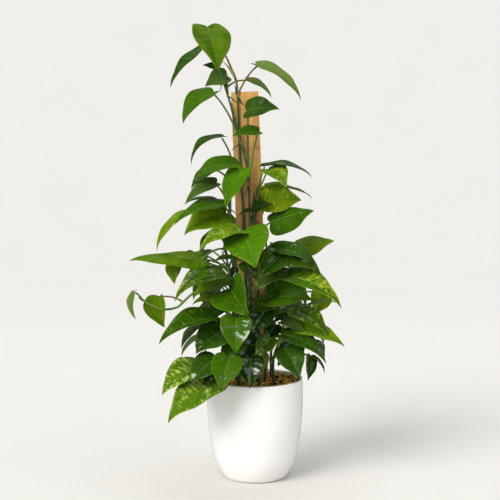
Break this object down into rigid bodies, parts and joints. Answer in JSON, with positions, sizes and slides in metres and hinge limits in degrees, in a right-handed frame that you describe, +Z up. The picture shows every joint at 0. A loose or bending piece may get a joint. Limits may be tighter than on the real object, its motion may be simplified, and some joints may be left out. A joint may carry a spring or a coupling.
{
  "type": "potted pothos",
  "caption": "Climbing pothos with heart-shaped variegated leaves on a flat cedar board, in a round white ceramic pot topped with shredded bark.",
  "frame": {"origin": "middle of the pot's flat foot, on the surface it stands on", "axes": "+Z up, -Y the front that the picture shows, +X to the right in that view"},
  "size_m": [0.5048, 0.3722, 1.0734],
  "materials": {
    "ceramic": "smooth white glazed ceramic",
    "soil": "damp dark potting mix",
    "bark": "loose shredded bark with dry moss",
    "cedar": "rough-sawn unfinished cedar",
    "leaf": "waxy green leaf with yellow and cream flecks"
  },
  "bodies": {
    "root": {"pot": "ceramic", "soil": "soil", "bark_dressing": "bark", "cedar_board": "cedar", "stem_tall_centre": "leaf", "stem_tall_left": "leaf", "stem_mid_right": "leaf", "stem_mid_left": "leaf", "stem_left_mid": "leaf", "stem_centre": "leaf", "stem_right_mid": "leaf", "stem_runner": "leaf", "stem_low_left": "leaf", "stem_bottom_left": "leaf", "stem_low_centre": "leaf", "stem_low_right": "leaf", "stem_back_left": "leaf", "stem_back_centre": "leaf", "stem_back_right": "leaf"}
  },
  "joints": []
}
